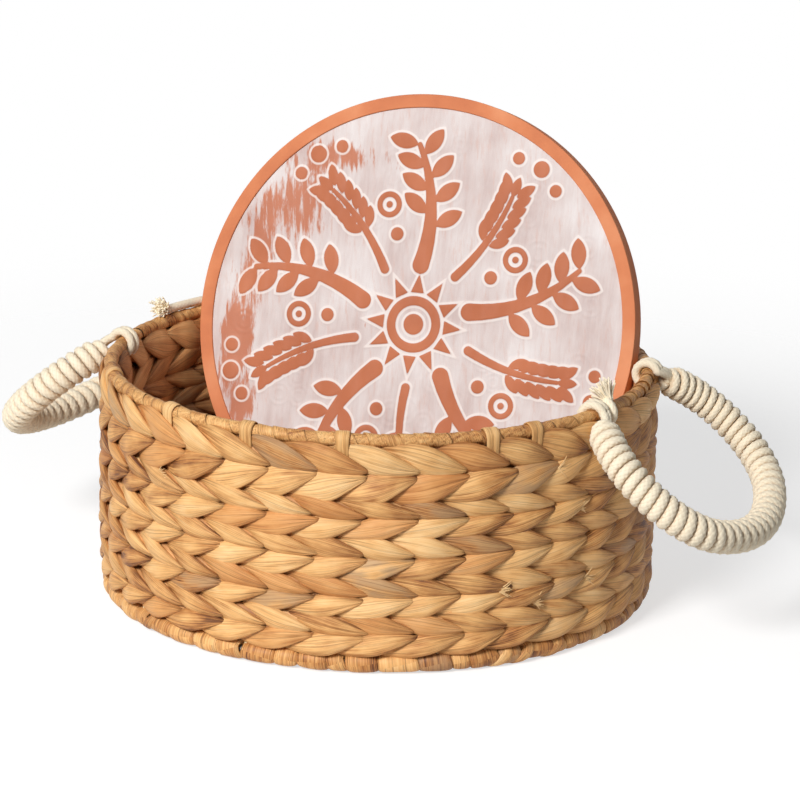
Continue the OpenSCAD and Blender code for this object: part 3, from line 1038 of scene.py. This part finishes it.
def artwork(p):
    """The motifs laid out round the plate's middle: distance to the nearest edge."""
    shapes = [ring_shape(p, (0, 0), 11.5 * MM, 4.4 * MM), dot_shape(p, (0, 0), 5.0 * MM)]
    for i in range(12):
        a = TURN * i / 12
        shapes.append(wedge_shape(p, polar(15.5 * MM, a), a, 9.0 * MM, 6.6 * MM))
    for i in range(5):
        a = TURN * (i + 0.25) / 5
        shapes += sprig(p, polar(29 * MM, a), a - 0.2, 60 * MM, 0.75)
        b = a + TURN / 10
        shapes += wheat(p, polar(31 * MM, b), b - 0.1, 48 * MM, 0.45)
        shapes.append(dot_shape(p, polar(98 * MM, b + 0.03), 4.0 * MM))
        for k in (-1, 1):
            shapes.append(dot_shape(p, polar(95.5 * MM, b + 0.03 + k * 0.13), 3.0 * MM))
        shapes.append(ring_shape(p, polar(60 * MM, b - 0.29), 5.0 * MM, 2.6 * MM))
        shapes.append(dot_shape(p, polar(60 * MM, b - 0.29), 1.6 * MM))
        shapes.append(dot_shape(p, polar(45 * MM, b - 0.31), 3.2 * MM))
    return np.min(shapes, axis=0)


def stamps(p, draw):
    """Faint round stamps in the coat, as low ridges."""
    total = np.zeros(p.shape[:-1])
    for _ in range(46):
        at = polar(95 * MM * math.sqrt(draw.uniform(0.03, 1)), draw.uniform(0, TURN))
        r = np.hypot(p[..., 0] - at[0], p[..., 1] - at[1])
        size = draw.uniform(4.2, 6.2) * MM
        for share in (1.0, 0.5):
            total += np.exp(-(((r - size * share) / (0.7 * MM)) ** 2))
    return np.clip(total, 0, 1)


# Patches where the coat is worn: middle x and y, half width and half height in mm, and how worn
WORN = (
    (-66, 52, 19, 24, 0.82),
    (-86, 28, 10, 24, 0.8),
    (-46, 78, 26, 8, 0.72),
    (-92, -18, 10, 24, 1.15),
    (-84, -52, 10, 16, 0.8),
    (-30, -8, 12, 30, 0.3),
    (34, 46, 16, 14, 0.12),
    (70, 10, 10, 9, 0.22),
    (60, -30, 8, 16, 0.2),
)


def worn_places(p):
    """How far the coat is worn off: most at the upper left and the middle left."""
    total = np.zeros(p.shape[:-1])
    for x, y, wide, tall, weight in WORN:
        total += weight * np.exp(-(((p[..., 0] / MM - x) / wide) ** 2) - ((p[..., 1] / MM - y) / tall) ** 2)
    return total


class BASKET_OT_plate(bpy.types.Operator):
    """Models the clay plate, its rim and the low relief of its coated field"""

    bl_idname = "basket.plate"
    bl_label = "Clay plate"

    def execute(self, context):
        s = context.scene.basket_plate
        place, radius, thick = self.seat()
        body = self.body(radius, thick, s.band, s.step)
        field = self.field(radius - s.band * 0.62, thick - s.step + s.coat, s.relief)
        for piece in (body, field):
            piece.data.transform(place)
            settle(piece, "plate", "clay", "plate")
        return {"FINISHED"}

    def seat(self):
        """Where the plate's own frame lies: its back face at height 0 and its middle at the origin."""
        axis = joint("plate_lift")["axis"]
        turn, lean = math.atan2(-axis[0], axis[1]), math.acos(axis[2])
        turned = Matrix.Rotation(turn, 4, "Z") @ Matrix.Rotation(math.pi / 2 - lean, 4, "X")
        co = np.array([v.co for v in frame["nodes"]["plate"].data.vertices])
        own = co @ np.array(turned.to_3x3())
        low, high = own.min(0), own.max(0)
        middle = Vector(((low[0] + high[0]) / 2, (low[1] + high[1]) / 2, low[2]))
        return turned @ Matrix.Translation(middle), (high[0] - low[0]) / 2, high[2] - low[2]

    def body(self, radius, thick, band, step):
        """A disc, raised, inset for the field and sunk, with its edges rounded."""
        bpy.ops.object.select_all(action="DESELECT")
        bpy.ops.mesh.primitive_circle_add(vertices=192, radius=radius, fill_type="NGON")
        made = bpy.context.active_object
        made.name = "plate_body"
        bpy.ops.object.mode_set(mode="EDIT")
        bpy.ops.mesh.select_all(action="SELECT")
        bpy.ops.mesh.extrude_region_move(TRANSFORM_OT_translate={"value": (0, 0, thick)})
        bpy.ops.mesh.inset(thickness=band)
        bpy.ops.mesh.extrude_region_move(TRANSFORM_OT_translate={"value": (0, 0, -step)})
        bpy.ops.mesh.select_all(action="SELECT")
        bpy.ops.mesh.normals_make_consistent(inside=False)
        bpy.ops.object.mode_set(mode="OBJECT")
        bevel = made.modifiers.new("round", "BEVEL")
        bevel.limit_method = "ANGLE"
        bevel.width = 2.2 * MM
        bevel.segments = 5
        bevel.profile = 0.62
        bpy.ops.object.modifier_apply(modifier="round")
        bpy.ops.object.shade_smooth_by_angle(angle=math.radians(40))
        made.data.materials.append(terracotta("clay"))
        return made

    def field(self, radius, height, relief):
        """The coated field as a fine disc of points, raised where a motif stands."""
        n = 290  # points along each side of the square that the disc is made from
        side = np.linspace(-1, 1, n)
        a, b = np.meshgrid(side, side, indexing="ij")
        wide = np.abs(a) > np.abs(b)
        with np.errstate(divide="ignore", invalid="ignore"):
            reach = np.where(wide, a, b)
            angle = np.where(wide, math.pi / 4 * b / a, math.pi / 2 - math.pi / 4 * a / b)
        angle = np.nan_to_num(angle)
        p = np.stack([reach * np.cos(angle), reach * np.sin(angle)], -1) * radius
        cut = artwork(p)
        far = np.hypot(p[..., 0], p[..., 1])
        rise = ease(1 - (cut + 0.25 * MM) / (0.75 * MM))
        ridges = stamps(p, draws(41))
        lip = np.exp(-(((cut - 1.1 * MM) / (0.5 * MM)) ** 2)) * 0.18 * MM
        edge = np.clip((far - radius + 1.6 * MM) / (1.6 * MM), 0, 1)
        z = height + relief * rise + (1 - rise) * (ridges * 0.16 * MM + lip) - edge * edge * 1.0 * MM
        grid = np.concatenate([p, z[..., None]], -1).reshape(-1, 3)
        here = np.arange(n * n).reshape(n, n)[:-1, :-1].ravel()
        quads = np.stack([here, here + n, here + n + 1, here + 1], -1)
        uv = p.reshape(-1, 2)[quads]
        bundle = Bundle()
        marks = {"cut": (cut / MM).ravel(), "worn": (worn_places(p) + 0.12 * ridges).ravel()}
        bundle.add(grid, quads, uv, marks)
        return bundle.make("plate_field", slip_ware("slip"))


class Loop:
    """The middle line of a handle: two straight legs, two tight corners and a wide tip."""

    corner, tip = 41 * MM, 90 * MM  # radii of its bends
    rise = 1.5 * MM
    start = 9.2 * MM  # from the eye's middle to the whipping

    def __init__(self, settings, side):
        swing = joint(f"handle_{side}_swing")
        x, y, z = swing["pos_m"]
        self.hinge = math.hypot(x, y)
        droop = math.radians(swing["range_deg"][1] - 90)
        turned = Matrix.Rotation(math.atan2(y, x), 4, "Z") @ Matrix.Translation((self.hinge, 0, z))
        self.eye_place = turned
        self.place = turned @ Matrix.Rotation(droop, 4, "Y") @ Matrix.Translation((0, 0, self.rise))
        self.eye = math.sqrt(hoop_ring("rim_hoop") ** 2 - self.hinge * self.hinge)
        half = settings.half_width
        self.bend = math.asin((half - self.corner) / (self.tip - self.corner))
        self.tip_middle = settings.reach - self.tip
        u = self.tip_middle + (self.tip - self.corner) * math.cos(self.bend)
        self.middle = np.array([u, half - self.corner])
        away = math.hypot(self.middle[0], self.middle[1] - self.eye)
        self.leg = math.sqrt(away * away - self.corner * self.corner)
        self.splay = math.atan2(self.middle[1] - self.eye, self.middle[0]) + math.asin(self.corner / away)
        self.corner_length = self.corner * (self.splay + math.pi / 2 - self.bend)
        self.half = self.leg + self.corner_length + self.tip * self.bend

    def half_line(self, s):
        """Points (u, v) and headings along one half, from the eye to the tip."""
        on_leg = np.stack([s * math.cos(self.splay), self.eye + s * math.sin(self.splay)], -1)
        turned = self.splay - (s - self.leg) / self.corner
        a = turned + math.pi / 2
        on_corner = self.middle + self.corner * np.stack([np.cos(a), np.sin(a)], -1)
        b = self.bend - (s - self.leg - self.corner_length) / self.tip
        on_tip = np.array([self.tip_middle, 0]) + self.tip * np.stack([np.cos(b), np.sin(b)], -1)
        first, second = s < self.leg, s < self.leg + self.corner_length
        points = np.where(first[:, None], on_leg, np.where(second[:, None], on_corner, on_tip))
        heading = np.where(first, self.splay, np.where(second, turned, b - math.pi / 2))
        return points, heading

    def line(self, s):
        """Points (u, v, 0) and headings along the whole middle line."""
        back = s > self.half
        points, heading = self.half_line(np.where(back, 2 * self.half - s, s))
        points = np.where(back[:, None], points * [1, -1], points)
        return np.pad(points, ((0, 0), (0, 1))), np.where(back, -math.pi - heading, heading)

    def set_down(self, points, place=None):
        """Carries points of the loop's own frame, or of another, over to the basket."""
        m = np.array(self.place if place is None else place)
        return points @ m[:3, :3].T + m[:3, 3]


def cord_rings(path, out, radius, wide=None, sides=20, strands=6, lay=2.6 * MM, depth=0.21, groove=0.0):
    """A braided cord: two families of yarns cross round it, and their crowns stand up."""
    steps = np.linalg.norm(np.diff(path, axis=0), axis=1)
    s = np.concatenate([[0], np.cumsum(steps)])[:, None]
    a = np.arange(sides)[None, :] / sides * TURN
    one = np.abs(np.sin(math.pi * s / lay + strands * a / 2))
    two = np.abs(np.sin(math.pi * s / lay - strands * a / 2))
    crown = np.sqrt(one * two)
    swell = 1 - depth + depth * crown
    wide = np.broadcast_to(radius if wide is None else wide, len(path))[:, None]
    n, b = out_and_across(path, out)
    x, y = wide * np.cos(a) * swell, radius * np.sin(a) * swell
    rings = path[:, None, :] + b[:, None, :] * x[..., None] + n[:, None, :] * y[..., None]
    # hollow: where the cotton finish paints shade, between the yarns' crowns, and with groove at the sides of
    # each turn where it meets the next.
    hollow = np.clip((1 - crown) * 0.75 + groove * np.abs(np.cos(a)) ** 5, 0, 1)
    return rings, hollow.ravel()


class BASKET_OT_handles(bpy.types.Operator):
    """Makes both rope handles: the eyes, the core and the whipping round it"""

    bl_idname = "basket.handles"
    bl_label = "Rope handles"

    def execute(self, context):
        s = context.scene.basket_rope
        rope = cotton("cotton")
        for side in SIDES:
            loop = Loop(s, side)
            body = f"handle_{side}"
            settle(self.whipping(s, loop, side, rope), body, "rope", f"handle_whipping_{side}")
            settle(self.core(loop, side, rope), body, "rope", f"handle_rope_{side}")
        return {"FINISHED"}

    def whipping(self, s, loop, side, rope):
        """One long cord, turn beside turn, round the loop's middle line."""
        per_turn = 78
        angle = TURN * np.arange(s.turns * per_turn + 1) / per_turn
        fine = np.linspace(loop.start, 2 * loop.half - loop.start, 600)
        spacing = 1 + s.looser * np.exp(-(((fine / loop.half - 1) / 0.42) ** 2))
        count = np.concatenate([[0], np.cumsum(np.diff(fine) / ((spacing[1:] + spacing[:-1]) / 2))])
        along = np.interp(angle / angle[-1], count / count[-1], fine)
        middle, heading = loop.line(along)
        forward, aside = toward(heading), toward(heading + math.pi / 2)
        drawn = draws(51 if side == "right" else 52).uniform(-0.22, 0.22, s.turns + 1)
        wobble = np.interp(angle / TURN, np.arange(s.turns + 1), drawn) * MM
        end = np.minimum(angle, angle[-1] - angle)
        reach = (s.over - s.rope) * (0.5 + 0.5 * ease(end / TURN / 1.6))
        angle = angle + math.pi
        out = aside * np.cos(angle)[:, None] + UP * np.sin(angle)[:, None]
        path = middle + out * reach[:, None] + forward * wobble[:, None]
        pitch = np.gradient(along) * per_turn
        bend = -np.gradient(heading, along)
        wide = 0.518 * pitch * (1 + bend * reach * np.cos(angle))
        # groove paints shade where each turn of the whipping meets the next.
        rings, hollow = cord_rings(path, out, s.rope, wide, sides=24, groove=0.9)
        bundle = Bundle()
        bundle.tube(loop.set_down(rings), hollow=hollow)
        return bundle.make(f"whipping_{side}", rope)

    def core(self, loop, side, rope):
        """The strand that makes an eye round the rim at each end and runs through the whipping."""
        bundle = Bundle()
        for end in (-1, 1):
            for aside in (-0.8 * MM, 2.7 * MM):
                path, out = self.eye(loop, end, aside * end)
                rings, hollow = cord_rings(path, out, 2.1 * MM)
                bundle.tube(rings, hollow=hollow)
        along = np.linspace(loop.start, 2 * loop.half - loop.start, 160)
        middle, _ = loop.line(along)
        rings, hollow = cord_rings(middle, np.broadcast_to(UP, middle.shape), 3.2 * MM)
        bundle.tube(loop.set_down(rings), hollow=hollow)
        return bundle.make(f"handle_core_{side}", rope)

    def eye(self, loop, end, aside):
        """From the leg round the rim hoop and back to the leg, a little aside of the eye's middle."""
        hole = 5.5 * MM
        ((u, v),), _ = loop.half_line(np.array([loop.start + 6 * MM]))
        far = loop.set_down(np.array([u, end * v, 0.0]))
        centre = loop.set_down(np.array([0.0, end * loop.eye, 0.0]), loop.eye_place)
        axis = np.array(loop.eye_place.to_3x3())[:, 1]
        away = unit(far - centre)
        away = unit(away - axis * (away @ axis))
        square = unit(np.cross(axis, away))
        if square[2] < 0:
            square = -square
        a = np.radians(np.linspace(52, 308, 44))
        arc = centre + axis * aside + hole * (np.cos(a)[:, None] * away + np.sin(a)[:, None] * square)
        lead = np.linspace(0, 1, 14)[1:, None]
        tails = []
        for edge, sign in ((arc[0], 1), (arc[-1], -1)):
            target = far + axis * aside * 0.5 + square * sign * 2.2 * MM
            straight = edge + (target - edge) * lead
            bulge = square * sign * hole * 0.18 * np.sin(math.pi * lead)
            tails.append(straight + bulge * (1 - ease(lead)))
        path = resample(np.vstack([tails[0][::-1], arc, tails[1]]), 0.55 * MM)
        return path, path - centre + axis * 1e-6


class BASKET_OT_ends(bpy.types.Operator):
    """Makes the loose rope ends over the rim, with their frayed tufts"""

    bl_idname = "basket.ends"
    bl_label = "Loose rope ends"

    def execute(self, context):
        rope = cotton("cotton_end", 0.12 * MM)
        for side, length, seed in (("right", 2.2 * MM, 61), ("left", 26 * MM, 62)):
            bundle = Bundle()
            self.strand(bundle, side, length, draws(seed))
            settle(bundle.make(f"loose_end_{side}", rope), "basket", "rope", f"rope_end_{side}")
        return {"FINISHED"}

    def strand(self, bundle, side, length, draw):
        """A rope that comes up over the rim beside an eye and lies along it, with a tuft at its end."""
        x, y, height = joint(f"handle_{side}_swing")["pos_m"]
        ring, hinge = hoop_ring("rim_hoop"), math.hypot(x, y)
        eye = math.sqrt(ring * ring - hinge * hinge)
        rise, beside_eye = 5.35 * MM, 5.1 * MM
        start = math.atan2(y, x) - math.asin((eye - beside_eye - rise * eye / ring) / ring)
        radial = toward(start)
        a = np.radians(np.linspace(-30, 78, 26))
        hooked = radial * (ring + rise * np.cos(a))[:, None] + UP * (height + rise * np.sin(a))[:, None]
        lying = ring + 1 * MM
        run = start + np.linspace(1.4 * MM, length, 40) / lying
        path = np.vstack([hooked, toward(run) * lying + UP * (height + rise)])
        for _ in range(4):
            path[1:-1] = (path[:-2] + 2 * path[1:-1] + path[2:]) / 4
        path = resample(path, 0.5 * MM)
        rings, hollow = cord_rings(path, path * [1, 1, 0] + UP * 1e-6, 2.35 * MM)
        bundle.tube(rings, hollow=hollow)
        if side == "right":
            heading, loose = UP * 0.55 - radial, 5.0 * MM
        else:
            heading, loose = unit(path[-1] - path[-4]) - UP * 0.15, 3.0 * MM
        self.tuft(bundle, path[-1], unit(heading), loose, draw)

    def tuft(self, bundle, root, heading, loose, draw):
        """Loose fibres that spread from the cut end and lift off the rim."""
        side = unit(np.cross(heading, UP))
        lifted = unit(heading + UP * 0.42)
        up = np.cross(side, lifted)
        for _ in range(95):
            turn, reach = draw.uniform(0, TURN), math.sqrt(draw.uniform(0, 1))
            spread = side * math.cos(turn) + up * math.sin(turn)
            length = draw.uniform(5.5, 10.5) * MM
            t = np.linspace(0, 1, 9)[:, None]
            curl = side * draw.uniform(-1, 1) + up * draw.uniform(-0.7, 1)
            base = root - heading * 1.2 * MM + spread * reach * 1.7 * MM
            path = base + lifted * length * t + spread * reach * loose * t**1.3 + curl * 1.6 * MM * t**2
            rings = sweep(path, np.broadcast_to(side, path.shape), 0.4 * MM, 0.4 * MM, sides=6)
            bundle.tube(rings, hollow=draw.uniform(0, 0.25))


class BASKET_PT_panel(bpy.types.Panel):
    bl_label = "Bread Warmer Basket"
    bl_idname = "BASKET_PT_panel"
    bl_space_type = "VIEW_3D"
    bl_region_type = "UI"
    bl_category = "Basket"

    def draw(self, context):
        for operator in OPERATORS:
            self.layout.operator(operator.bl_idname)
        for group in SETTINGS:
            box = self.layout.box()
            made = getattr(context.scene, group)
            for name in made.__annotations__:
                box.prop(made, name)


SETTINGS = {
    "basket_wall": WallSettings,
    "basket_rim": RimSettings,
    "basket_plate": PlateSettings,
    "basket_rope": RopeSettings,
    "basket_stage": StageSettings,
}
OPERATORS = (
    BASKET_OT_stage,
    BASKET_OT_wall,
    BASKET_OT_frame,
    BASKET_OT_rim,
    BASKET_OT_base,
    BASKET_OT_plate,
    BASKET_OT_handles,
    BASKET_OT_ends,
)
CLASSES = (*SETTINGS.values(), *OPERATORS, BASKET_PT_panel)


def register():
    for cls in CLASSES:
        bpy.utils.register_class(cls)
    for name, group in SETTINGS.items():
        setattr(bpy.types.Scene, name, bpy.props.PointerProperty(type=group))


def unregister():
    for name in SETTINGS:
        delattr(bpy.types.Scene, name)
    for cls in reversed(CLASSES):
        bpy.utils.unregister_class(cls)


def main():
    register()
    for operator in OPERATORS:
        group, name = operator.bl_idname.split(".")
        getattr(getattr(bpy.ops, group), name)()


if __name__ == "__main__":
    main()
